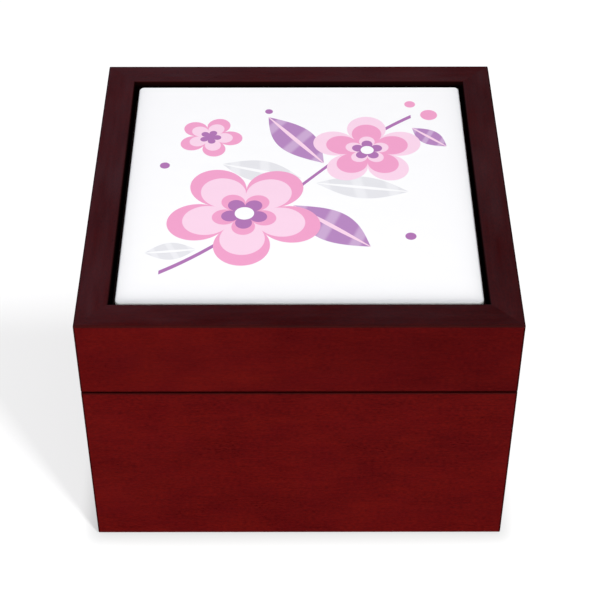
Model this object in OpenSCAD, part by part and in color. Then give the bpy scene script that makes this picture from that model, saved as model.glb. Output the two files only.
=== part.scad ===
// Square wooden box with a hinged lid, a ceramic tile let into the lid and a mirror under it.
// The box stands on the plane z = 0 about the origin: X runs to the right, Y to the back, Z up.

/* [Tile] */
// Side of the tile, left to right
tile_w = 108; // [90:1:160]
// Side of the tile, front to back
tile_d = 108; // [90:1:160]
// Thickness of the tile
tile_t = 6; // [4:0.1:8]
// Radius of the tile's four corners, seen from above
tile_corner_r = 1.7; // [0.5:0.1:4]
// Radius of the glazed edge round the tile's face
tile_edge_r = 0.5; // [0.3:0.1:1.5]
// Gap between the tile and the frame round it
tile_gap = 1.6; // [0.5:0.1:3]
// How far to the right of the middle the tile was set
tile_shift = 0.1; // [-0.4:0.1:0.4]
// Depth of the tile's face below the lid's top
tile_drop = 1.1; // [0.5:0.1:4]
// Number of grooves moulded in the tile's back
tile_grooves = 9; // [3:1:15]
// Width of a groove in the tile's back
tile_groove_w = 5; // [2:0.5:6]
// Depth of a groove in the tile's back
tile_groove_h = 0.6; // [0.2:0.1:1]
// Thickness of the foam tape under the tile
tape_t = 1; // [0.5:0.1:2]
// Width of a strip of foam tape
tape_w = 14; // [8:1:25]
// Distance between the middles of the two strips
tape_apart = 70; // [40:1:72]

/* [Box] */
// Height of the closed box on its felt
box_h = 93; // [75:1:150]
// Height from the seam's middle to the lid's top
lid_h = 27.2; // [24:0.1:40]
// Thickness of the boards of base and lid
wall_t = 9.4; // [9:0.1:14]
// Gap between lid and base
seam_gap = 0.7; // [0.4:0.1:1]
// Radius of the boards' outer edges
edge_r = 0.8; // [0.3:0.1:2]
// Radius of the boards' outer edges at the seam
seam_r = 0.3; // [0.1:0.1:0.8]
// Radius of the boards' inner rim edges
rim_r = 0.4; // [0.2:0.1:0.8]

/* [Panels] */
// Thickness of the lid panel
panel_t = 3; // [2:0.1:5]
// Depth of the groove that holds the lid panel
groove_d = 4; // [2:0.1:6]
// Room in the groove beyond the panel's edge
groove_play = 0.5; // [0.1:0.1:1]
// Thickness of the bottom panel
bottom_t = 4; // [3:0.1:6]
// Width of the rabbet that holds the bottom panel
rabbet_w = 4.5; // [3:0.1:6]
// Room between a panel and the wood beside it
panel_play = 0.2; // [0.1:0.1:0.5]
// Thickness of the felt under the box
felt_t = 0.8; // [0.5:0.1:2]
// Distance of the felt from the box's edge
felt_inset = 2; // [1:0.5:6]
// Radius of the felt's corners
felt_corner_r = 3; // [1:0.5:10]

/* [Lining] */
// Thickness of a lining card with its velvet
lining_t = 1.5; // [1:0.1:3]
// Depth of the linings' edge below the rim
lining_drop = 0.8; // [0.5:0.1:3]
// Room round each soft piece
soft_play = 0.3; // [0.2:0.1:0.6]
// Thickness of the floor pad at its edge
pad_t = 2.6; // [1.5:0.1:6]
// Extra height of the floor pad's middle
pad_crown = 1.4; // [0.5:0.1:5]
// How far the floor pad's sides draw in between its corners
pad_draw = 0.5; // [0:0.1:2]
// Radius of the floor pad's corners
pad_corner_r = 3; // [1:0.5:8]
// Diameter of a rim bumper
bumper_d = 5; // [3:0.5:7]
// Room between a bumper and the closed lid
bumper_play = 0.05; // [0.02:0.01:0.2]

/* [Mirror] */
// Side of the mirror glass, left to right
mirror_w = 88; // [50:1:94]
// Side of the mirror glass, front to back
mirror_d = 88; // [50:1:94]
// Thickness of the mirror glass
mirror_t = 2; // [1.5:0.1:4]
// Width of the glass that the mount covers all round
mount_lap = 2.5; // [1:0.1:6]
// Thickness of the mount in front of the glass
mount_t = 1.2; // [0.8:0.1:3]
// Width of the bevel round the mount's window
mount_bevel = 0.8; // [0.2:0.1:1]
// Room round the mirror glass in its mount
mirror_play = 0.2; // [0.1:0.1:1]

/* [Hinges] */
// Widest angle that the lid opens to
lid_open = 95; // [80:1:110]
// Distance from the box's middle to a hinge's middle
hinge_x = 36; // [20:1:40]
// Length of a hinge
hinge_w = 22; // [16:1:30]
// Number of knuckles on a hinge
knuckles = 5; // [3:2:7]
// Radius of the hinge's barrel
knuckle_r = 2; // [1.8:0.1:2.2]
// Gap between neighbouring knuckles
knuckle_gap = 0.1; // [0.05:0.01:0.3]
// Radius of the hinge pin
pin_r = 0.8; // [0.6:0.05:0.9]
// Length of the tapered end of the hinge pin
pin_tip_h = 0.2; // [0.1:0.1:0.4]
// Radial clearance of the hinge pin
pin_play = 0.05; // [0.02:0.01:0.1]
// Thickness of a hinge leaf
leaf_t = 1.2; // [0.8:0.1:1.4]
// Radius of a leaf's far corners
leaf_corner_r = 0.8; // [0.2:0.1:1.5]
// Distance from the pin to a leaf's far edge
leaf_reach = 5.9; // [5.7:0.1:6.4]
// Clearance round the barrel in the wood and in the other leaf
barrel_play = 0.25; // [0.15:0.05:0.4]
// Clearance round a leaf in its mortise
mortise_play = 0.1; // [0.05:0.05:0.3]
// How far inside the back of the box the barrel lies
barrel_inset = 0.1; // [0:0.1:0.5]
// Room between the two stop bevels at the widest angle
stop_play = 0.12; // [0.06:0.02:0.4]
// Distance from a screw's middle to the pin
screw_y = 4; // [3.9:0.1:4.2]
// Distance from a screw's middle to the hinge's middle
screw_x = 6.5; // [4:0.5:8]
// Radius of a screw's head
screw_head_r = 1.6; // [1.3:0.1:1.7]
// Height of a screw's conical head
screw_head_h = 0.8; // [0.5:0.1:1]
// Width of the slot in a screw's head
slot_w = 0.5; // [0.3:0.1:0.8]
// Depth of the slot in a screw's head
slot_h = 0.4; // [0.2:0.1:0.6]
// Radius of a screw's shank
screw_r = 0.9; // [0.6:0.1:1]
// Length of a screw
screw_len = 8; // [5:0.5:12]
// Radial clearance of a screw
screw_play = 0.05; // [0.02:0.01:0.1]

/* [Hidden] */
$fn = 64;

// What a cut goes past the surface that it opens
past = 1;
// Angles that turn a piece drawn for the front to each side
front = 0;
right = 90;
back = 180;
left = 270;

// Plan of the box
opening_w = tile_w + 2 * tile_gap;
opening_d = tile_d + 2 * tile_gap;
box_w = opening_w + 2 * wall_t;
box_d = opening_d + 2 * wall_t;

// Heights, from the floor up
seam_z = box_h - lid_h;
base_low = felt_t;
base_high = seam_z - seam_gap / 2;
floor_z = base_low + bottom_t;
lid_low = seam_z + seam_gap / 2;
tile_top = box_h - tile_drop;
tile_low = tile_top - tile_t;
panel_top = tile_low - tape_t;
panel_low = panel_top - panel_t;

// Space inside the linings
lined_w = opening_w - 2 * lining_t;
lined_d = opening_d - 2 * lining_t;
pad_w = lined_w - 2 * soft_play;
pad_d = lined_d - 2 * soft_play;
mount_low = panel_low - mirror_t - mount_t;

// Hinge line, and what turns on it
pivot_y = box_d / 2 - barrel_inset - knuckle_r;
barrel_r = knuckle_r + barrel_play;
leaf_z = seam_gap / 2;
knuckle_w = (hinge_w - (knuckles - 1) * knuckle_gap) / knuckles;

woodcolour = [0.37, 0.06, 0.06];
velvetcolour = [0.30, 0.04, 0.08];
brasscolour = [0.80, 0.62, 0.30];

// What a rounded edge takes off a square corner at the origin
module corner_off(r) {
    difference() {
        translate([-past, -past]) square(r + past);
        translate([r, r]) circle(r = r);
    }
}

// Rectangle about the origin with four round corners
module rounded_plan(w, d, r) {
    difference() {
        square([w, d], center = true);
        for (sx = [0, 1], sy = [0, 1])
            mirror([sx, 0]) mirror([0, sy]) translate([-w / 2, -d / 2]) corner_off(r);
    }
}

// Bar along X from a section drawn with x across it and y up
module along_x(length) {
    rotate([90, 0, 90]) linear_extrude(height = length, center = true) children();
}

// Sets a piece drawn for the front, with its outer face at y = 0, on one side of the box
module on_side(side) {
    reach = side == front || side == back ? box_d / 2 : box_w / 2;
    rotate([0, 0, side]) translate([0, -reach, 0]) children();
}

// Length of the box along one side
function side_length(side) = side == front || side == back ? box_w : box_d;

// Plan of a board mitred at both ends, with its outer corners eased
module mitred_plan(length) {
    difference() {
        polygon([
            [-length / 2, 0],
            [length / 2, 0],
            [length / 2 - wall_t, wall_t],
            [wall_t - length / 2, wall_t]
        ]);
        for (s = [0, 1])
            mirror([s, 0]) translate([-length / 2, 0]) corner_off(edge_r);
    }
}

// Section of a board between two heights: x runs inwards from its outer face.
// Its outer edges are eased by low_r below and by high_r above.
module board_section(low, low_r, high, high_r) {
    difference() {
        translate([0, low]) square([wall_t, high - low]);
        translate([0, low]) corner_off(low_r);
        translate([0, high]) mirror([0, 1]) corner_off(high_r);
        translate([wall_t, high]) rotate(180) corner_off(rim_r);
    }
}

// Wedge that the stop bevel takes off the back edge above the hinge line.
// Both bevels run through that line at half the opening angle, so they meet when the lid is open.
module stop_bevel() {
    translate([0, pivot_y, seam_z]) rotate([lid_open / 2, 0, 0])
        translate([-box_w / 2 - past, -past, -4 * knuckle_r])
            cube([box_w + 2 * past, 6 * knuckle_r, 4 * knuckle_r + stop_play / 2]);
}

// Mirrors what is drawn for the lid down to the base
module below_seam() {
    translate([0, 0, seam_z]) mirror([0, 0, 1]) translate([0, 0, -seam_z]) children();
}

// Repeats a piece drawn at the hinge line's origin at both hinges
module at_hinges() {
    for (s = [-1, 1])
        translate([s * hinge_x, pivot_y, seam_z]) children();
}

// Repeats a piece at both screws of one leaf
module at_screws() {
    for (s = [-1, 1])
        translate([s * screw_x, -screw_y, leaf_z]) children();
}

// Room for the barrel, one leaf and its screws, cut in the wood above the hinge line
module hinge_mortise() {
    wide = hinge_w + 2 * mortise_play;
    rotate([0, 90, 0]) cylinder(r = barrel_r, h = wide, center = true);
    translate([-wide / 2, -leaf_reach - mortise_play, 0])
        cube([wide, leaf_reach + mortise_play, leaf_z + leaf_t]);
    at_screws() cylinder(r = screw_r + screw_play, h = screw_len + screw_play);
}

// One wall of the base, with the rabbet for the bottom panel
module base_wall(side) {
    length = side_length(side);
    color(woodcolour) difference() {
        on_side(side) intersection() {
            translate([0, 0, -past]) linear_extrude(height = base_high + 2 * past) mitred_plan(length);
            along_x(length + 2 * past) difference() {
                board_section(base_low, edge_r, base_high, seam_r);
                translate([wall_t - rabbet_w, base_low - past]) square([rabbet_w + past, bottom_t + past]);
            }
        }
        if (side != front) below_seam() stop_bevel();
        if (side == back) below_seam() at_hinges() hinge_mortise();
    }
}

// One rail of the lid, with the groove for the lid panel
module lid_rail(side) {
    length = side_length(side);
    color(woodcolour) difference() {
        on_side(side) intersection() {
            translate([0, 0, lid_low - past]) linear_extrude(height = lid_h + 2 * past) mitred_plan(length);
            along_x(length + 2 * past) difference() {
                board_section(lid_low, seam_r, box_h, edge_r);
                translate([wall_t - groove_d, panel_low]) square([groove_d + past, panel_t]);
            }
        }
        if (side != front) stop_bevel();
        if (side == back) at_hinges() hinge_mortise();
    }
}

module base_front_wall() { base_wall(front); }
module base_back_wall() { base_wall(back); }
module base_left_wall() { base_wall(left); }
module base_right_wall() { base_wall(right); }
module lid_front_rail() { lid_rail(front); }
module lid_back_rail() { lid_rail(back); }
module lid_left_rail() { lid_rail(left); }
module lid_right_rail() { lid_rail(right); }

// Bottom panel, flush with the walls' lower edges
module base_bottom_panel() {
    reach = 2 * (rabbet_w - panel_play);
    color([0.45, 0.30, 0.20]) translate([0, 0, base_low + bottom_t / 2])
        cube([opening_w + reach, opening_d + reach, bottom_t], center = true);
}

// Felt sheet that the box stands on
module base_felt() {
    color([0.10, 0.10, 0.10]) linear_extrude(height = felt_t)
        rounded_plan(box_w - 2 * felt_inset, box_d - 2 * felt_inset, felt_corner_r);
}

// One lining card between two heights. Those at the sides stand between the other two.
module lining(side, low, high) {
    across = side == front || side == back;
    length = across ? opening_w - 2 * panel_play : lined_d - 2 * panel_play;
    color(velvetcolour) on_side(side) translate([-length / 2, wall_t, low])
        cube([length, lining_t, high - low]);
}

module base_lining_front() { lining(front, floor_z, base_high - lining_drop); }
module base_lining_back() { lining(back, floor_z, base_high - lining_drop); }
module base_lining_left() { lining(left, floor_z, base_high - lining_drop); }
module base_lining_right() { lining(right, floor_z, base_high - lining_drop); }
module lid_lining_front() { lining(front, lid_low + lining_drop, panel_low); }
module lid_lining_back() { lining(back, lid_low + lining_drop, panel_low); }
module lid_lining_left() { lining(left, lid_low + lining_drop, panel_low); }
module lid_lining_right() { lining(right, lid_low + lining_drop, panel_low); }

// Outline of the floor pad: round corners, and sides that draw in between them
corner_steps = 4;
side_steps = 6;
function pad_corner(i, k) =
    let (turn = 90 * i + 90 * k / corner_steps,
        sx = cos(90 * i + 45) > 0 ? 1 : -1,
        sy = sin(90 * i + 45) > 0 ? 1 : -1)
    [sx * (pad_w / 2 - pad_corner_r) + pad_corner_r * cos(turn),
        sy * (pad_d / 2 - pad_corner_r) + pad_corner_r * sin(turn)];
function pad_side(i, k) =
    let (t = k / side_steps,
        inwards = -pad_draw * sin(180 * t),
        turn = 90 * i + 90,
        from = pad_corner(i, corner_steps),
        to = pad_corner((i + 1) % 4, 0))
    from * (1 - t) + to * t + inwards * [cos(turn), sin(turn)];
pad_outline = [for (i = [0:3]) each concat(
    [for (k = [0:corner_steps]) pad_corner(i, k)],
    [for (k = [1:side_steps - 1]) pad_side(i, k)])];
// Each ring of the pad: its size against the outline's, and its share of the edge's height
pad_rings = [[0.99, 0], [1, 0.25], [1, 0.6], [0.992, 0.85], [0.975, 1],
    [0.9, 1], [0.75, 1], [0.55, 1], [0.3, 1]];
function pad_height(ring) =
    pad_t * ring[1] + (ring[1] == 1 ? pad_crown * (1 - pow(ring[0], 2)) : 0);

// Padded velvet floor of the base
module base_floor_pad() {
    n = len(pad_outline);
    rings = len(pad_rings);
    points = concat(
        [for (ring = pad_rings, p = pad_outline) [p[0] * ring[0], p[1] * ring[0], pad_height(ring)]],
        [[0, 0, 0], [0, 0, pad_t + pad_crown]]);
    wall = [for (r = [0:rings - 2], i = [0:n - 1]) each
        [[r * n + i, r * n + n + i, r * n + n + (i + 1) % n],
            [r * n + i, r * n + n + (i + 1) % n, r * n + (i + 1) % n]]];
    under = [for (i = [0:n - 1]) [rings * n, i, (i + 1) % n]];
    over = [for (i = [0:n - 1]) [rings * n + 1, (rings - 1) * n + (i + 1) % n, (rings - 1) * n + i]];
    color(velvetcolour) translate([0, 0, floor_z])
        polyhedron(points = points, faces = concat(wall, under, over));
}

// Felt dots on the base's front rim
module rim_bumpers() {
    color([0.12, 0.10, 0.10]) for (s = [-1, 1])
        translate([s * (box_w - wall_t) / 2, (wall_t - box_d) / 2, base_high])
            cylinder(d = bumper_d, h = seam_gap - bumper_play);
}

// Panel that closes the lid and carries the tile
module lid_panel() {
    reach = 2 * (groove_d - groove_play);
    color([0.42, 0.26, 0.18]) translate([0, 0, panel_low + panel_t / 2])
        cube([opening_w + reach, opening_d + reach, panel_t], center = true);
}

// Two strips of foam tape that hold the tile
module tile_foam_tape() {
    color([0.85, 0.85, 0.82]) for (s = [-1, 1])
        translate([tile_shift + s * tape_apart / 2, 0, panel_top + tape_t / 2])
            cube([tape_w, tile_d - tape_w, tape_t], center = true);
}

// Section across a tile, with the two edges of its face eased
module tile_section(across) {
    difference() {
        translate([-across / 2, tile_low]) square([across, tile_t]);
        for (s = [0, 1])
            mirror([s, 0]) translate([-across / 2, tile_top]) mirror([0, 1]) corner_off(tile_edge_r);
    }
}

// Glazed ceramic tile with grooves from front to back under it
module lid_tile() {
    pitch = tile_w / (tile_grooves + 1);
    color([0.96, 0.97, 0.98]) translate([tile_shift, 0, 0]) difference() {
        intersection() {
            translate([0, 0, tile_low]) linear_extrude(height = tile_t)
                rounded_plan(tile_w, tile_d, tile_corner_r);
            along_x(tile_w + 2 * past) tile_section(tile_d);
            rotate([0, 0, 90]) along_x(tile_d + 2 * past) tile_section(tile_w);
        }
        for (k = [1:tile_grooves])
            translate([k * pitch - (tile_w + tile_groove_w) / 2, -tile_d / 2 - past, tile_low - past])
                cube([tile_groove_w, tile_d + 2 * past, tile_groove_h + past]);
    }
}

// Mirror glass against the underside of the lid panel
module lid_mirror() {
    color([0.75, 0.80, 0.84]) translate([0, 0, panel_low - mirror_t / 2])
        cube([mirror_w, mirror_d, mirror_t], center = true);
}

// Section across the mount's window, wider at the bevel round its face
module window_section(across) {
    half = across / 2;
    splay = mount_bevel + past;
    polygon([
        [half, mount_t + past],
        [-half, mount_t + past],
        [-half, mount_bevel],
        [-half - splay, -past],
        [half + splay, -past],
        [half, mount_bevel]
    ]);
}

// Velvet-covered mount: a pocket for the glass and a window a little smaller than it
module mirror_mount() {
    window_w = mirror_w - 2 * mount_lap;
    window_d = mirror_d - 2 * mount_lap;
    color(velvetcolour) translate([0, 0, mount_low]) difference() {
        linear_extrude(height = mount_t + mirror_t) rounded_plan(pad_w, pad_d, pad_corner_r);
        translate([0, 0, mount_t + (mirror_t + past) / 2])
            cube([mirror_w + 2 * mirror_play, mirror_d + 2 * mirror_play, mirror_t + past], center = true);
        intersection() {
            along_x(mirror_w) window_section(window_d);
            rotate([0, 0, 90]) along_x(mirror_d) window_section(window_w);
        }
    }
}

// Plan of a leaf between its far edge and the barrel
module leaf_plan() {
    difference() {
        translate([-hinge_w / 2, -leaf_reach]) square([hinge_w, leaf_reach - barrel_r]);
        for (s = [0, 1])
            mirror([s, 0]) translate([-hinge_w / 2, -leaf_reach]) corner_off(leaf_corner_r);
    }
}

// One leaf with its knuckles, lying towards the front above the hinge line.
// It has every second knuckle of the hinge, counted from first.
module hinge_leaf(first) {
    difference() {
        union() {
            translate([0, 0, leaf_z]) linear_extrude(height = leaf_t) leaf_plan();
            for (k = [first:2:knuckles - 1])
                translate([k * (knuckle_w + knuckle_gap) - hinge_w / 2, 0, 0]) {
                    rotate([0, 90, 0]) cylinder(r = knuckle_r, h = knuckle_w);
                    translate([0, -barrel_r - leaf_t, leaf_z]) cube([knuckle_w, barrel_r + leaf_t, leaf_t]);
                }
        }
        rotate([0, 90, 0]) cylinder(r = pin_r + pin_play, h = hinge_w + 2 * past, center = true);
        at_screws() {
            cylinder(r = screw_r + screw_play, h = 2 * leaf_t);
            translate([0, 0, -past]) cylinder(r = screw_head_r + screw_play, h = past);
            cylinder(r1 = screw_head_r + screw_play, r2 = screw_r + screw_play, h = screw_head_h);
        }
    }
}

// One leaf of one hinge. The base's leaf has the outer knuckles, and the lid's those between.
module lid_leaf(s) {
    color(brasscolour) translate([s * hinge_x, pivot_y, seam_z]) hinge_leaf(1);
}
module base_leaf(s) {
    color(brasscolour) below_seam() translate([s * hinge_x, pivot_y, seam_z]) hinge_leaf(0);
}
module hinge_left_base_leaf() { base_leaf(-1); }
module hinge_right_base_leaf() { base_leaf(1); }
module hinge_left_lid_leaf() { lid_leaf(-1); }
module hinge_right_lid_leaf() { lid_leaf(1); }

// Pin through all knuckles of one hinge, tapered at both ends
module hinge_pin(s) {
    straight = hinge_w / 2 - pin_tip_h;
    color([0.72, 0.55, 0.26]) translate([s * hinge_x, pivot_y, seam_z]) rotate([0, 90, 0]) {
        cylinder(r = pin_r, h = 2 * straight, center = true);
        for (end = [0, 1])
            mirror([0, 0, end]) translate([0, 0, straight])
                cylinder(r1 = pin_r, r2 = pin_r - pin_tip_h, h = pin_tip_h);
    }
}
module hinge_left_pin() { hinge_pin(-1); }
module hinge_right_pin() { hinge_pin(1); }

// Slotted countersunk screw, its head at the origin and its point upwards
module screw() {
    tip_h = 2 * screw_r;
    difference() {
        union() {
            cylinder(r1 = screw_head_r, r2 = screw_r, h = screw_head_h);
            translate([0, 0, screw_head_h]) cylinder(r = screw_r, h = screw_len - screw_head_h - tip_h);
            translate([0, 0, screw_len - tip_h]) cylinder(r1 = screw_r, r2 = 0, h = tip_h);
        }
        translate([-screw_head_r, -slot_w / 2, -past])
            cube([2 * screw_head_r, slot_w, slot_h + past]);
    }
}
module hinge_lid_screws() { color(brasscolour) at_hinges() at_screws() screw(); }
module hinge_base_screws() { color(brasscolour) below_seam() at_hinges() at_screws() screw(); }

base_front_wall();
base_back_wall();
base_left_wall();
base_right_wall();
base_bottom_panel();
base_felt();
base_floor_pad();
base_lining_front();
base_lining_back();
base_lining_left();
base_lining_right();
rim_bumpers();
lid_front_rail();
lid_back_rail();
lid_left_rail();
lid_right_rail();
lid_panel();
tile_foam_tape();
lid_tile();
lid_mirror();
mirror_mount();
lid_lining_front();
lid_lining_back();
lid_lining_left();
lid_lining_right();
hinge_left_base_leaf();
hinge_right_base_leaf();
hinge_left_lid_leaf();
hinge_right_lid_leaf();
hinge_left_pin();
hinge_right_pin();
hinge_base_screws();
hinge_lid_screws();
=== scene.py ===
import math

import bmesh
import bpy
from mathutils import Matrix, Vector


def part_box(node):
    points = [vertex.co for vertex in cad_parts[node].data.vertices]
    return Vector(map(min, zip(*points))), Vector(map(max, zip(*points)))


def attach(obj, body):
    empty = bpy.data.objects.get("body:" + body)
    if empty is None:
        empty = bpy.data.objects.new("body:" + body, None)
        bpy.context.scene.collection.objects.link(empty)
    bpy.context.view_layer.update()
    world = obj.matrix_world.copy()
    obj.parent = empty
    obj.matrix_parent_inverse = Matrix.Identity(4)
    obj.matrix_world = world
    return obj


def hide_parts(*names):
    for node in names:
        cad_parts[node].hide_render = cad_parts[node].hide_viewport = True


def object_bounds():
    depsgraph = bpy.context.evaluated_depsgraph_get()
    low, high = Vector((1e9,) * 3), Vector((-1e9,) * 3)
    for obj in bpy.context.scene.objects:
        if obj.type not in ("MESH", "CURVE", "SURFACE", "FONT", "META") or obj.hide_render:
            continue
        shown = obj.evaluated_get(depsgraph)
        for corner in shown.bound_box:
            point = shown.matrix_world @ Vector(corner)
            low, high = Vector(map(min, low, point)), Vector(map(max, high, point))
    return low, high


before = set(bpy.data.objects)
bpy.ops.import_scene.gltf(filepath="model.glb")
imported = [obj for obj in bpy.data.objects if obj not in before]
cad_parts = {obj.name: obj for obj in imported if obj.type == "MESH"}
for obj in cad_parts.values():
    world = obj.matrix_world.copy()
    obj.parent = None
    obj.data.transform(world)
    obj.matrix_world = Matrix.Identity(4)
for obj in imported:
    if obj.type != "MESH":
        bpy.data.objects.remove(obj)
cad_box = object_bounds()


# Boards of base and lid. Eight boards of close-grained hardwood, mitred and glued, were stained dark red,
# sprayed with satin lacquer and rubbed down; base and lid were then hinged together. Their grain runs
# level round the box.
class Wire:
    """A value that changes over a surface. Arithmetic on it adds nodes to its finish."""

    def __init__(self, finish, socket):
        self.finish = finish
        self.socket = socket

    def maths(self, operation, other=0.0):
        return self.finish.maths(operation, self, other)

    def __add__(self, other):
        return self.maths("ADD", other)

    def __radd__(self, other):
        return self.maths("ADD", other)

    def __sub__(self, other):
        return self.maths("SUBTRACT", other)

    def __rsub__(self, other):
        return self.finish.maths("SUBTRACT", other, self)

    def __mul__(self, other):
        return self.maths("MULTIPLY", other)

    def __rmul__(self, other):
        return self.maths("MULTIPLY", other)

    def __truediv__(self, other):
        return self.maths("DIVIDE", other)

    def __pow__(self, other):
        return self.maths("POWER", other)


class Shading:
    """A node tree under way. Sockets of the same name are told apart by number."""

    def __init__(self, tree):
        self.tree = tree

    def node(self, kind, settings, inputs, output=0):
        """Adds a node, sets it up, gives its sockets values or links, and returns one output."""
        made = self.tree.nodes.new(kind)
        for name, value in settings.items():
            setattr(made, name, value)
        for name, value in inputs.items():
            if isinstance(value, Wire):
                self.tree.links.new(value.socket, made.inputs[name])
            else:
                made.inputs[name].default_value = value
        return Wire(self, made.outputs[output])

    def maths(self, operation, first, second=0.0):
        return self.node("ShaderNodeMath", {"operation": operation}, {0: first, 1: second})

    def axes(self, vector):
        """The three numbers of a vector."""
        split = self.node("ShaderNodeSeparateXYZ", {}, {0: vector}).socket.node
        return [Wire(self, output) for output in split.outputs]

    def step(self, value, low, high):
        """0 below low, 1 above high and a smooth rise between them."""
        return self.node("ShaderNodeMapRange", {"interpolation_type": "SMOOTHSTEP"}, {
            "Value": value, "From Min": low, "From Max": high})

    def mix(self, factor, under, over):
        """A colour between two colours."""
        return self.node("ShaderNodeMix", {"data_type": "RGBA"}, {0: factor, 6: under, 7: over}, 2)


class Finish(Shading):
    """A surface finish: one Principled shader, its fixed properties and what feeds it."""

    def __init__(self, name, fixed):
        self.material = bpy.data.materials.new(name)
        self.material.use_nodes = True
        super().__init__(self.material.node_tree)
        self.shader = self.tree.nodes["Principled BSDF"]
        for socket, value in fixed.items():
            self.shader.inputs[socket].default_value = value

    def place(self):
        """The point of the surface in the box's own frame, in metres."""
        return self.node("ShaderNodeTexCoord", {}, {}, "Object")

    def cloud(self, size, detail=2.0, start=(0, 0, 0)):
        """Soft noise about 0, from -0.5 to 0.5, with lumps of the given sizes along X, Y and Z."""
        scaled = self.node("ShaderNodeMapping", {}, {
            "Vector": self.place(), "Location": start, "Scale": [1 / s for s in size]})
        return self.node("ShaderNodeTexNoise", {}, {
            "Vector": scaled, "Scale": 1.0, "Detail": detail, "Roughness": 0.5}) - 0.5

    def feed(self, socket, wire):
        self.tree.links.new(wire.socket, self.shader.inputs[socket])

    def relief(self, height, depth):
        """Bumps of the given depth in metres where height goes from 0 to 1."""
        self.feed("Normal", self.node("ShaderNodeBump", {}, {"Distance": depth, "Height": height}, "Normal"))

    def rounding(self):
        """1 where the surface turns from one flat face to the next, and 0 on the flats."""
        normal = self.node("ShaderNodeNewGeometry", {}, {}, "Normal")
        nx, ny, nz = [part.maths("ABSOLUTE") for part in self.axes(normal)]
        squareness = nx.maths("MAXIMUM", ny).maths("MAXIMUM", nz)
        return self.step(squareness, 0.995, 0.93)

    def cover(self, mask, fixed):
        """Lays a second, plain shader over the first where the mask is 1."""
        first = Wire(self, self.shader.outputs["BSDF"])
        second = self.node("ShaderNodeBsdfPrincipled", {}, fixed, "BSDF")
        both = self.node("ShaderNodeMixShader", {}, {0: mask, 1: first, 2: second})
        self.tree.links.new(both.socket, self.tree.nodes["Material Output"].inputs["Surface"])


recess_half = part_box("lid_right_rail")[0].x
panel_middle = (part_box("lid_panel")[0].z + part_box("lid_panel")[1].z) / 2
paint_edge = 0.0002
seam_height = (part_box("base_front_wall")[1].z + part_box("lid_front_rail")[0].z) / 2
seam_shade_reach = (0.0012, 0.0003)      # how far from the seam the painted shade starts, and where it is full


def mahogany(name, turned, start, strength, depth=0.0, shade_to_right=0.0):
    """Stained and lacquered board. Its grain, more or less strong, runs along X, or along Y where it is
    turned. Painted shade may darken it more than the others and deepen from left to right, and painted
    shade darkens its rounded edges and the wood along the seam. The lacquer's sheen comes and goes in
    streaks and broad patches. The lid's boards are matt black where the tile is let in."""
    orange = (0.0478, 0.0016, 0.0009, 1)
    crimson = (0.0348, 0.0007, 0.0013, 1)
    dark = (0.0181, 0.0004, 0.0007, 1)
    black = (0.0040, 0.0008, 0.0008, 1)
    finish = Finish(name, {"Specular IOR Level": 0.06, "Coat Roughness": 0.2})

    def grain(length, width, detail):
        size = (width, length, width) if turned else (length, width, width)
        return finish.cloud(size, detail, start)

    x, y, z = finish.axes(finish.place())
    across = x if turned else y
    blotch = grain(0.020, 0.012, 4.0)
    figure = grain(0.0080, 0.0012, 2.0)
    fibre = grain(0.0013, 0.00052, 2.0)
    hair = grain(0.0010, 0.00025, 2.0) + grain(0.0120, 0.00018, 3.0) * 1.6
    hue = 0.5 + grain(0.012, 0.008, 4.0) * 1.1 + fibre * 0.5
    # Painted shade: depth darkens the whole board, and the step in x darkens it towards the right.
    shade = 0.30 + depth + finish.step(x, -0.07, 0.07) * shade_to_right
    shade = shade - blotch * 0.8 - (figure * 0.5 + fibre * 1.3 + hair * 0.55) * strength
    pore = finish.step(grain(0.0020, 0.00012, 1.0), 0.15, 0.24)
    stain = finish.mix(shade + pore * 0.4, finish.mix(hue, crimson, orange), dark)
    rounding = finish.rounding()
    seam_shade = finish.step((z - seam_height).maths("ABSOLUTE"), *seam_shade_reach)
    # Painted shade: the rounded edges and the wood along the seam are mixed towards black.
    finish.feed("Base Color", finish.mix((rounding * 0.6).maths("MAXIMUM", seam_shade * 0.5), stain, black))
    finish.feed("Roughness", 0.30 + blotch * 0.08 + fibre * 0.08)
    streak = grain(0.018, 0.0018, 3.0)
    bloom = grain(0.034, 0.014, 2.0)
    finish.feed("Coat Weight", (0.16 + streak * 0.42 + bloom * 0.75) * (1 - rounding))
    finish.relief(figure * 0.4 + fibre * 0.5 - pore * 0.4, 0.00003)
    # Matt black, without sheen, over the walls of the recess that the tile lies in.
    inside = finish.step(across.maths("ABSOLUTE"), recess_half + paint_edge, recess_half)
    above = finish.step(z, panel_middle - paint_edge, panel_middle + paint_edge)
    finish.cover(inside * above, {"Base Color": black, "Roughness": 0.9, "Specular IOR Level": 0.0})
    return finish.material


def dress(node, material):
    """Gives a CAD node its finish."""
    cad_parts[node].data.materials.clear()
    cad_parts[node].data.materials.append(material)


for number, side in enumerate(("front", "back", "left", "right")):
    turned = side in ("left", "right")
    for body, board in (("base", "wall"), ("lid", "rail")):
        start = (3.1 * number, 1.7 * number, 0.9 + 5.3 * number + (2.6 if body == "lid" else 0))
        strength = 1.2 if body == "base" else 0.72
        # Painted shade: the lid's right rail is darkened all over, and its front rail towards its right end.
        depth = 0.20 if (body, side) == ("lid", "right") else 0.0
        shade_to_right = 0.35 if (body, side) == ("lid", "front") else 0.0
        finish = mahogany(f"mahogany_{body}_{side}", turned, start, strength, depth, shade_to_right)
        dress(f"{body}_{side}_{board}", finish)


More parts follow.
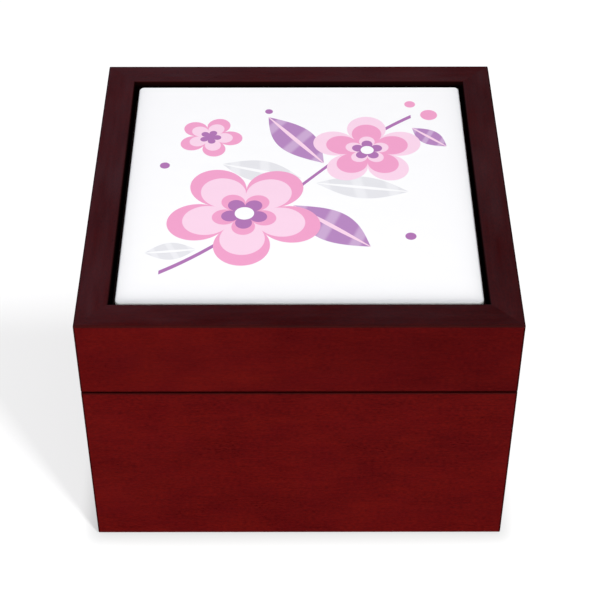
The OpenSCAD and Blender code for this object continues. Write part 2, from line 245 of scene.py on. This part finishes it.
# Panels. The lid's panel sits in a groove of the rails and the bottom panel in a rabbet of the walls.
# Both are thin fibre board, stained dark before they were glued in.
def stained_board(name):
    finish = Finish(name, {"Specular IOR Level": 0.3})
    flecks = finish.cloud((0.0009, 0.0009, 0.0009), 3.0)
    patches = finish.cloud((0.03, 0.03, 0.03))
    tone = 0.5 + flecks * 1.2 + patches * 0.8
    dark, light = (0.012, 0.004, 0.003, 1), (0.035, 0.012, 0.008, 1)
    finish.feed("Base Color", finish.mix(tone, dark, light))
    finish.feed("Roughness", 0.75 + flecks * 0.2)
    finish.relief(flecks, 0.00004)
    return finish.material


panel_board = stained_board("stained_fibre_board")
dress("lid_panel", panel_board)
dress("base_bottom_panel", panel_board)


# Tile. A pressed ceramic tile under clear gloss glaze, printed by heat transfer and laid on two strips
# of foam tape. Its edges are rounded where the glaze ran over them, and its sides are bare biscuit below.
sharp_from = math.radians(35)


def new_piece(name, made, body, material):
    """Makes a piece of a finished bmesh, shades it and lets it ride on a body."""
    mesh = bpy.data.meshes.new(name)
    bmesh.ops.remove_doubles(made, verts=made.verts, dist=1e-6)
    bmesh.ops.recalc_face_normals(made, faces=made.faces)
    made.to_mesh(mesh)
    made.free()
    mesh.materials.append(material)
    mesh.shade_smooth()
    mesh.set_sharp_from_angle(angle=sharp_from)
    piece = bpy.data.objects.new(name, mesh)
    piece.modifiers.new("flat_faces", "WEIGHTED_NORMAL").keep_sharp = True
    bpy.context.scene.collection.objects.link(piece)
    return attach(piece, body)


def blocks(*corners):
    """A bmesh of boxes, each given by its lowest and its highest corner."""
    made = bmesh.new()
    for low, high in corners:
        verts = bmesh.ops.create_cube(made, size=1.0)["verts"]
        bmesh.ops.scale(made, vec=Vector(high) - Vector(low), verts=verts)
        bmesh.ops.translate(made, vec=(Vector(high) + Vector(low)) / 2, verts=verts)
    return made


def round_edges(made, edges, radius, segments):
    bmesh.ops.bevel(made, geom=edges, offset=radius, affect="EDGES", segments=segments, profile=0.5,
                    material=-1, clamp_overlap=True)


def upright(edge):
    """Whether an edge stands along Z."""
    one, other = (v.co for v in edge.verts)
    return abs(one.x - other.x) + abs(one.y - other.y) < 1e-7


def at_height(edge, z):
    """Whether an edge lies level at height z."""
    return all(abs(v.co.z - z) < 1e-6 for v in edge.verts)


tile_low, tile_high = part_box("lid_tile")
tile_middle = (tile_low + tile_high) / 2
tile_corner = 0.0017
tile_rim = 0.0005
grooves = 9
groove_width = 0.005
groove_depth = 0.0006
glaze_run = 0.0031       # how far the glaze ran down the sides


def grooved_tile():
    """Slab drawn out from its front outline, with grooves from front to back under it."""
    pitch = (tile_high.x - tile_low.x) / (grooves + 1)
    outline = [(tile_high.x, tile_high.z), (tile_low.x, tile_high.z), (tile_low.x, tile_low.z)]
    for number in range(grooves):
        left = tile_low.x + pitch * (number + 1) - groove_width / 2
        right = left + groove_width
        top = tile_low.z + groove_depth
        outline += [(left, tile_low.z), (left, top), (right, top), (right, tile_low.z)]
    outline.append((tile_high.x, tile_low.z))
    made = bmesh.new()
    front = made.faces.new([made.verts.new((x, tile_low.y, z)) for x, z in outline])
    grown = bmesh.ops.extrude_face_region(made, geom=[front], use_keep_orig=True)["geom"]
    back = [part for part in grown if isinstance(part, bmesh.types.BMVert)]
    bmesh.ops.translate(made, vec=(0, tile_high.y - tile_low.y, 0), verts=back)
    bmesh.ops.recalc_face_normals(made, faces=made.faces)
    corners = [e for e in made.edges if upright(e) and e.calc_length() > groove_depth * 2]
    round_edges(made, corners, radius=tile_corner, segments=8)
    round_edges(made, [e for e in made.edges if at_height(e, tile_high.z)], radius=tile_rim, segments=5)
    return made


class Print:
    """Flat inks of the tile's print, laid over each other on the glaze. Sizes and places are in millimetres
    from the tile's middle: u to the right and v to the back."""

    ink_edge = 0.12
    petals = 5
    sheen_bands = 17.0       # how fast the bands of sheen follow each other along a leaf

    def __init__(self, finish, glaze):
        self.finish = finish
        self.colour = glaze
        x, y, self.z = finish.axes(finish.place())
        self.u = (x - tile_middle.x) * 1000
        self.v = (y - tile_middle.y) * 1000

    def lay(self, mask, ink):
        self.colour = self.finish.mix(mask, self.colour, ink)

    def inside(self, depth):
        """A crisp mask of the places that lie deeper than 0 inside a shape's outline."""
        return self.finish.step(depth, -self.ink_edge / 2, self.ink_edge / 2)

    def away(self, u, v):
        """How far a place is from a point."""
        du, dv = self.u - u, self.v - v
        return (du * du + dv * dv) ** 0.5

    def dot(self, u, v, radius, ink):
        self.lay(self.inside(radius - self.away(u, v)), ink)

    def blossom(self, u, v, radius, turn, inks):
        """Broad petals round a middle, each ink laid a little smaller than the one before."""
        away = self.away(u, v)
        angle = self.finish.maths("ARCTAN2", self.v - v, self.u - u) + turn
        wave = (angle * (self.petals / 2)).maths("COSINE").maths("ABSOLUTE") ** 0.62
        for size, ink in inks:
            self.lay(self.inside((wave * 0.52 + 0.48) * (radius * size) - away), ink)

    def along(self, u, v, turn):
        """Distances along and across a line that leaves a point at an angle."""
        du, dv = self.u - u, self.v - v
        cosine, sine = math.cos(turn), math.sin(turn)
        return du * cosine + dv * sine, dv * cosine - du * sine

    def leaf(self, u, v, turn, length, width, inks):
        """A pointed leaf with bands of sheen across it and a pale midrib."""
        out, off = self.along(u, v, turn)
        share = (out / length).maths("MAXIMUM", 0.0).maths("MINIMUM", 1.0)
        half = (share * math.pi).maths("SINE") * (width / 2) - self.ink_edge
        blade = self.inside(half - off.maths("ABSOLUTE"))
        self.lay(blade, inks[0])
        bands = ((share + off / (length * 3)) * self.sheen_bands).maths("SINE")
        self.lay(blade * self.finish.step(bands, 0.2, 0.9) * 0.55, inks[1])
        rib = self.inside(half * 0.10 + 0.12 - off.maths("ABSOLUTE")) * blade
        self.lay(rib, inks[2])

    def stem(self, bend, width, low, high, ink):
        """A stem that rises through the middle in a slight wave, between two places along u."""
        curve = self.u * 0.86 + (self.u * 0.055).maths("SINE") * bend
        run = self.inside(self.u - low) * self.inside(high - self.u)
        self.lay(self.inside(width / 2 - (self.v - curve).maths("ABSOLUTE") * 0.75) * run, ink)


def glazed_print():
    """White gloss glaze with a spray of blossoms in pinks, lilac and pale grey."""
    pink = (0.871, 0.352, 0.578, 1)
    pale_pink = (0.947, 0.658, 0.807, 1)
    purple = (0.423, 0.165, 0.434, 1)
    lilac = (0.456, 0.231, 0.503, 1)
    light_lilac = (0.700, 0.520, 0.730, 1)
    grey = (0.775, 0.775, 0.800, 1)
    light_grey = (0.900, 0.900, 0.915, 1)
    white = (0.965, 0.965, 0.965, 1)
    finish = Finish("glazed_printed_tile", {"Specular IOR Level": 0.5})
    drawn = Print(finish, white)
    drawn.stem(6.0, 1.3, -42, 37, purple)
    greys, lilacs = (grey, light_grey, white), (lilac, light_lilac, pale_pink)
    for u, v, turn, length, width, inks in (
            (-31, -30, 3.25, 16, 8.0, greys), (-2, -9, -0.70, 31, 14.0, lilacs),
            (5, 2, -0.15, 30, 11.0, greys), (8, 12, 2.20, 31, 13.0, lilacs),
            (1, 4, 2.85, 27, 11.0, greys), (37, 31, -0.75, 15, 7.5, lilacs)):
        drawn.leaf(u, v, turn, length, width, inks)
    drawn.blossom(-17, -13, 24.5, 0.35, [(1.0, pink), (0.80, pale_pink), (0.42, pink), (0.30, purple)])
    drawn.blossom(22, 19, 18.0, 0.95, [(1.0, pale_pink), (0.76, pink), (0.40, pale_pink), (0.28, purple)])
    drawn.blossom(-29, 26, 10.5, 0.10, [(1.0, pink), (0.70, pale_pink), (0.34, purple)])
    for u, v, radius in ((43, 38, 2.8), (37, 44, 1.8), (-43, 11, 1.6), (-10, 40, 1.3), (34, -24, 1.7)):
        drawn.dot(u, v, radius, pink if radius > 1.7 else purple)
    drawn.dot(-17, -13, 3.0, white)
    drawn.dot(22, 19, 2.1, white)
    biscuit = (0.72, 0.66, 0.58, 1)
    glaze_end = tile_high.z - glaze_run
    wander = finish.cloud((0.004, 0.004, 0.004)) * 0.0006
    glazed = finish.step(drawn.z + wander, glaze_end - 0.0001, glaze_end + 0.0001)
    finish.feed("Base Color", finish.mix(glazed, biscuit, drawn.colour))
    finish.feed("Roughness", 0.75 - glazed * 0.67)
    finish.relief(finish.cloud((0.006, 0.006, 0.006), 1.0), 0.00003)
    return finish.material


tile = new_piece("tile", grooved_tile(), "lid", glazed_print())
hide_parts("lid_tile")


# Foam tape. Two strips of white closed-cell foam with glue on both faces, one near each side of the
# tile. They hold it to the lid's panel and are squeezed a little under it.
tape_width = 0.014
tape_finish = Finish("foam_tape", {"Roughness": 0.9})
cells = tape_finish.cloud((0.0004, 0.0004, 0.0004), 2.0)
tape_shade, tape_white = (0.62, 0.62, 0.57, 1), (0.74, 0.74, 0.70, 1)
tape_finish.feed("Base Color", tape_finish.mix(0.5 + cells, tape_shade, tape_white))
tape_finish.relief(cells, 0.00008)
tape_low, tape_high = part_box("tile_foam_tape")
strips = blocks((tape_low, (tape_low.x + tape_width, tape_high.y, tape_high.z)),
                ((tape_high.x - tape_width, tape_low.y, tape_low.z), tape_high))
round_edges(strips, strips.edges[:], radius=0.0003, segments=3)
tape = new_piece("foam_tape", strips, "lid", tape_finish.material)
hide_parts("tile_foam_tape")


# Linings. Cards covered in short-pile velvet, pushed into base and lid against the boards, their edges
# rounded by the cloth that is turned over them.
def velvet():
    """Short-pile velvet, wine red: dark where looked into, light where the pile leans away."""
    finish = Finish("velvet", {
        "Specular IOR Level": 0.15, "Sheen Weight": 0.9, "Sheen Roughness": 0.35,
        "Sheen Tint": (0.85, 0.30, 0.36, 1)})
    pile = finish.cloud((0.00022, 0.00022, 0.00022), 2.0)
    nap = finish.cloud((0.012, 0.018, 0.012), 3.0)
    tone = 0.5 + nap * 0.9 + pile * 0.8
    dark, light = (0.030, 0.0020, 0.0055, 1), (0.095, 0.0070, 0.0180, 1)
    finish.feed("Base Color", finish.mix(tone, dark, light))
    finish.feed("Roughness", 0.9 + nap * 0.1)
    finish.relief(pile + nap * 0.3, 0.00012)
    return finish.material


velvet_cloth = velvet()
for body in ("base", "lid"):
    for side in ("front", "back", "left", "right"):
        node = f"{body}_lining_{side}"
        card = blocks(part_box(node))
        round_edges(card, card.edges[:], radius=0.0005, segments=4)
        lining = new_piece(f"velvet_{node}", card, body, velvet_cloth)
        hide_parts(node)


# Floor pad. Thin foam on card under the same velvet, pulled tight and glued beneath, so that its middle
# stands a little higher than its rounded edges.
pad_low, pad_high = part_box("base_floor_pad")
pad_corner = 0.003
side_draw = 0.008        # share of its half width by which a side pulls in between its corners
card_share = 0.42        # the pad's height at its lowest edge, as a share of the whole height, and what
edge_share = 0.23        # its rounded edge and
crown_share = 0.35       # its crown add to that


def padded_floor():
    """Crowned pad with rounded edges and sides that pull in, inside the CAD pad's box."""
    made = blocks((pad_low, pad_high))
    level = [e for e in made.edges if not upright(e)]
    bmesh.ops.subdivide_edges(made, edges=level, cuts=39, use_grid_fill=True)
    rising = [e for e in made.edges if upright(e)]
    bmesh.ops.subdivide_edges(made, edges=rising, cuts=3, use_grid_fill=True)
    middle = (pad_low + pad_high) / 2
    half = (pad_high - pad_low) / 2
    for v in made.verts:
        off = v.co - middle
        past = Vector([max(0, abs(off[i]) - half[i] + pad_corner) for i in (0, 1)])
        if min(past) > 0:
            past *= 1 - max(past) / past.length
            v.co.x -= math.copysign(past.x, off.x)
            v.co.y -= math.copysign(past.y, off.y)
        right = abs(off.x) / half.x
        back = abs(off.y) / half.y
        crown = (1 - right ** 2.2) * (1 - back ** 2.2)
        edge = (1 - right ** 26) * (1 - back ** 26)
        height = card_share + edge_share * edge + crown_share * crown ** 0.8
        v.co.z = pad_low.z + (v.co.z - pad_low.z) * height
        v.co.x -= (v.co.x - middle.x) * side_draw * right ** 8 * (1 - back ** 2)
        v.co.y -= (v.co.y - middle.y) * side_draw * back ** 8 * (1 - right ** 2)
    return made


pad = new_piece("floor_pad", padded_floor(), "base", velvet_cloth)
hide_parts("base_floor_pad")


# Felt. A sheet of pressed black felt glued under the box, so that it stands without scratching, and two
# round dots of it on the base's front rim, which the lid closes on.
def felt():
    finish = Finish("black_felt", {"Specular IOR Level": 0.1, "Sheen Weight": 0.3})
    fibres = finish.cloud((0.0005, 0.0005, 0.0005), 4.0)
    dark, light = (0.006, 0.006, 0.007, 1), (0.022, 0.021, 0.023, 1)
    finish.feed("Base Color", finish.mix(0.5 + fibres, dark, light))
    finish.feed("Roughness", 0.95 + fibres * 0.05)
    finish.relief(fibres, 0.0002)
    return finish.material


felt_cloth = felt()
sheet = blocks(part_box("base_felt"))
round_edges(sheet, [e for e in sheet.edges if upright(e)], radius=0.003, segments=6)
round_edges(sheet, [e for e in sheet.edges if not upright(e)], radius=0.0002, segments=2)
under_felt = new_piece("under_felt", sheet, "base", felt_cloth)
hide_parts("base_felt")
bumper_radius = 0.0025
bumper_low, bumper_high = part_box("rim_bumpers")
bumper_middle = (bumper_low + bumper_high) / 2
dots = bmesh.new()
for place in (bumper_low.x + bumper_radius, bumper_high.x - bumper_radius):
    dot = bmesh.ops.create_cone(dots, cap_ends=True, segments=40, radius1=bumper_radius,
                                radius2=bumper_radius, depth=bumper_high.z - bumper_low.z)["verts"]
    bmesh.ops.translate(dots, vec=(place, bumper_middle.y, bumper_middle.z), verts=dot)
round_edges(dots, [e for e in dots.edges if at_height(e, bumper_high.z)], radius=0.00015, segments=3)
bumpers = new_piece("felt_bumpers", dots, "base", felt_cloth)
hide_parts("rim_bumpers")


# Mirror. A square of silvered glass with ground edges, held against the lid's panel by a card mount that
# is covered in the lining's velvet.
mirror_finish = Finish("silvered_glass", {"Metallic": 1.0, "Roughness": 0.0})
haze = mirror_finish.cloud((0.010, 0.010, 0.010), 3.0)
silver_shade, silver = (0.82, 0.86, 0.86, 1), (0.88, 0.91, 0.91, 1)
mirror_finish.feed("Base Color", mirror_finish.mix(0.5 + haze, silver_shade, silver))
mirror_low, mirror_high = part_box("lid_mirror")
glass = blocks((mirror_low, mirror_high))
round_edges(glass, glass.edges[:], radius=0.0003, segments=2)
mirror = new_piece("mirror", glass, "lid", mirror_finish.material)
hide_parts("lid_mirror")

mount_low, mount_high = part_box("mirror_mount")
mount_corner = 0.003
pocket = mirror_high.x + 0.0002    # half widths of the glass's pocket and of the window that laps over it
window = mirror_high.x - 0.0025
window_bevel = 0.0008


def mirror_frame():
    """Square frame: half of its section, set on the diagonal and turned four times round the middle."""
    section = [(mount_high.x, mount_low.z), (mount_high.x, mount_high.z), (pocket, mount_high.z),
               (pocket, mirror_low.z), (window, mirror_low.z), (window, mount_low.z + window_bevel),
               (window + window_bevel, mount_low.z)]
    made = bmesh.new()
    verts = [made.verts.new((half, half, z)) for half, z in section]
    edges = [made.edges.new((verts[i - 1], verts[i])) for i in range(len(verts))]
    bmesh.ops.spin(made, geom=verts + edges, cent=(0, 0, 0), axis=(0, 0, 1), angle=math.tau, steps=4,
                   use_merge=True)
    bmesh.ops.recalc_face_normals(made, faces=made.faces)
    outside = [e for e in made.edges if upright(e) and abs(e.verts[0].co.x) > mount_high.x - 1e-5]
    round_edges(made, outside, radius=mount_corner, segments=6)
    creases = [e for e in made.edges if e.calc_face_angle(0) > math.radians(20)]
    round_edges(made, creases, radius=0.0003, segments=3)
    return made


mount = new_piece("velvet_mirror_mount", mirror_frame(), "lid", velvet_cloth)
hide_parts("mirror_mount")


# Hinges. Two small butt hinges of satin brass, let into the back boards. Each leaf is rolled round a
# brass pin and held by two slotted, countersunk screws.
def brass(name, light, dark, dullness=0.32):
    finish = Finish(name, {"Metallic": 1.0})
    brushed = finish.cloud((0.0060, 0.0003, 0.0003), 3.0)
    tarnish = finish.cloud((0.004, 0.004, 0.004), 3.0)
    finish.feed("Base Color", finish.mix(0.5 + tarnish * 1.2, dark, light))
    finish.feed("Roughness", dullness + brushed * 0.2 + tarnish * 0.1)
    finish.relief(brushed, 0.00001)
    return finish.material


satin_brass = brass("satin_brass", (0.82, 0.58, 0.24, 1), (0.60, 0.38, 0.13, 1))
drawn_brass = brass("drawn_brass", (0.70, 0.48, 0.20, 1), (0.48, 0.30, 0.11, 1))
bright_brass = brass("bright_brass", (0.93, 0.74, 0.40, 1), (0.80, 0.58, 0.27, 1), 0.22)
for side in ("left", "right"):
    dress(f"hinge_{side}_base_leaf", satin_brass)
    dress(f"hinge_{side}_lid_leaf", satin_brass)
    dress(f"hinge_{side}_pin", drawn_brass)
dress("hinge_base_screws", bright_brass)
dress("hinge_lid_screws", bright_brass)


# Studio. The box stands on a white table that is lit from beneath, as in a shop's picture. Two lamps stand
# low in front, two shine up through the table behind and are kept off the tile, and none of the four shows
# in the lacquer. The room is brighter in front, and one more lamp lights only the table.
table_half = 4.0
footprint_half = cad_box[1].x - 0.001
painted_shadow_reach = 0.009    # how far from there the painted contact shadow reaches
white, black = (1, 1, 1, 1), (0, 0, 0, 1)


def white_floor():
    """Table top that glows, with a painted contact shadow where the box stands close, and that blurred
    reflections, which would grey the lacquer, don't see."""
    finish = Finish("white_floor", {
        "Roughness": 0.9, "Specular IOR Level": 0.0, "Emission Strength": 0.715})
    glossy = finish.node("ShaderNodeLightPath", {}, {}, "Is Glossy Ray")
    sharp = finish.node("ShaderNodeLightPath", {}, {}, "Is Singular Ray")
    blurred = glossy * (1 - sharp)
    grey, painted_shadow_grey = (0.25, 0.25, 0.25, 1), (0.65, 0.65, 0.65, 1)
    finish.feed("Base Color", finish.mix(blurred, grey, black))
    past_x, past_y = [(along.maths("ABSOLUTE") - footprint_half).maths("MAXIMUM", 0.0)
                      for along in finish.axes(finish.place())[:2]]
    away = (past_x * past_x + past_y * past_y) ** 0.5
    # Painted contact shadow: the glow is greyer close round the box's footprint.
    shadowed_glow = finish.mix(finish.step(away, 0.0, painted_shadow_reach), painted_shadow_grey, white)
    finish.feed("Emission Color", finish.mix(blurred, shadowed_glow, black))
    return finish.material


floor_mesh = bpy.data.meshes.new("floor")
sheet = bmesh.new()
bmesh.ops.create_grid(sheet, x_segments=1, y_segments=1, size=table_half)
sheet.to_mesh(floor_mesh)
sheet.free()
floor_mesh.materials.append(white_floor())
floor = bpy.data.objects.new("floor", floor_mesh)
bpy.context.scene.collection.objects.link(floor)


def light_group(name, state, objects):
    """Objects that a lamp lights or shades alone, or leaves out."""
    group = bpy.data.collections.new(name)
    for thing in objects:
        group.objects.link(thing)
    for member in group.collection_objects:
        member.light_linking.link_state = state
    return group


aim = Vector((0, 0, 0.05))


def lamp(name, azimuth, elevation, distance, size, power, colour):
    """A soft box that looks at the box from a direction: azimuth 0 is the front, 90 the right."""
    light = bpy.data.lights.new(name, "AREA")
    light.shape = "RECTANGLE"
    light.size, light.size_y = size
    light.energy = power
    light.color = colour
    turn, rise = math.radians(azimuth), math.radians(elevation)
    back = Vector((math.sin(turn) * math.cos(rise), -math.cos(turn) * math.cos(rise), math.sin(rise)))
    lit = bpy.data.objects.new(name, light)
    lit.location = aim + back * distance
    lit.rotation_mode = "QUATERNION"
    lit.rotation_quaternion = (-back).to_track_quat("-Z", "Y")
    bpy.context.scene.collection.objects.link(lit)
    return lit


all_but_floor = light_group("all_but_floor", "EXCLUDE", [floor])
all_but_tile = light_group("all_but_floor_and_tile", "EXCLUDE", [floor, tile])
for name, azimuth, elevation, power in (
        ("front_left", -40, 8, 24), ("front_right", 40, 8, 20),
        ("back_left", -140, -8, 12), ("back_right", 140, -8, 12)):
    low_lamp = lamp(f"{name}_lamp", azimuth, elevation, 1.2, (0.5, 0.4), power, (1.0, 0.98, 0.96))
    low_lamp.light_linking.receiver_collection = all_but_floor if elevation > 0 else all_but_tile
    low_lamp.light_linking.blocker_collection = all_but_floor
    low_lamp.visible_glossy = False
shadow_lamp = lamp("shadow_lamp", 33, 38, 1.5, (0.2, 0.2), 32, (1.0, 1.0, 1.0))
shadow_lamp.light_linking.receiver_collection = light_group("floor_alone", "INCLUDE", [floor])
shadow_lamp.light_linking.blocker_collection = light_group("front_boards", "INCLUDE", [
    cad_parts["base_front_wall"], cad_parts["lid_front_rail"]])

world = bpy.data.worlds.new("studio")
world.use_nodes = True
room = Shading(world.node_tree)
rightwards, backwards = room.axes(room.node("ShaderNodeTexCoord", {}, {}, "Generated"))[:2]
in_front, behind_left, behind_right = (1.025, 1.05, 1.02, 1), (0.42, 0.42, 0.56, 1), (0.32, 0.29, 0.33, 1)
behind = room.mix(room.step(rightwards, -0.35, 0.35), behind_left, behind_right)
light = room.mix(room.step(backwards, -0.6, 0.8), in_front, behind)
seen = room.mix(room.node("ShaderNodeLightPath", {}, {}, "Is Camera Ray"), light, white)
world.node_tree.links.new(seen.socket, world.node_tree.nodes["Background"].inputs["Color"])
bpy.context.scene.world = world
bpy.context.scene.view_settings.view_transform = "Standard"


# Camera. It looks down on the box from the front, as the photograph does. Its place and lens were found
# from where the box's corners lie in the picture.
tilt_down = math.radians(42.62)
turn_aside = math.radians(-0.10)
box_side = cad_box[1].x - cad_box[0].x
sideways, before, above = -0.003 * box_side, 2.668 * box_side, 2.534 * box_side
camera_data = bpy.data.cameras.new("camera")
camera_data.sensor_width = 36.0
camera_data.lens = 100.26
camera = bpy.data.objects.new("camera", camera_data)
camera.location = (sideways, cad_box[0].y - before, cad_box[1].z + above)
camera.rotation_euler = (math.radians(90) - tilt_down, 0, turn_aside)
bpy.context.scene.collection.objects.link(camera)
bpy.context.scene.camera = camera
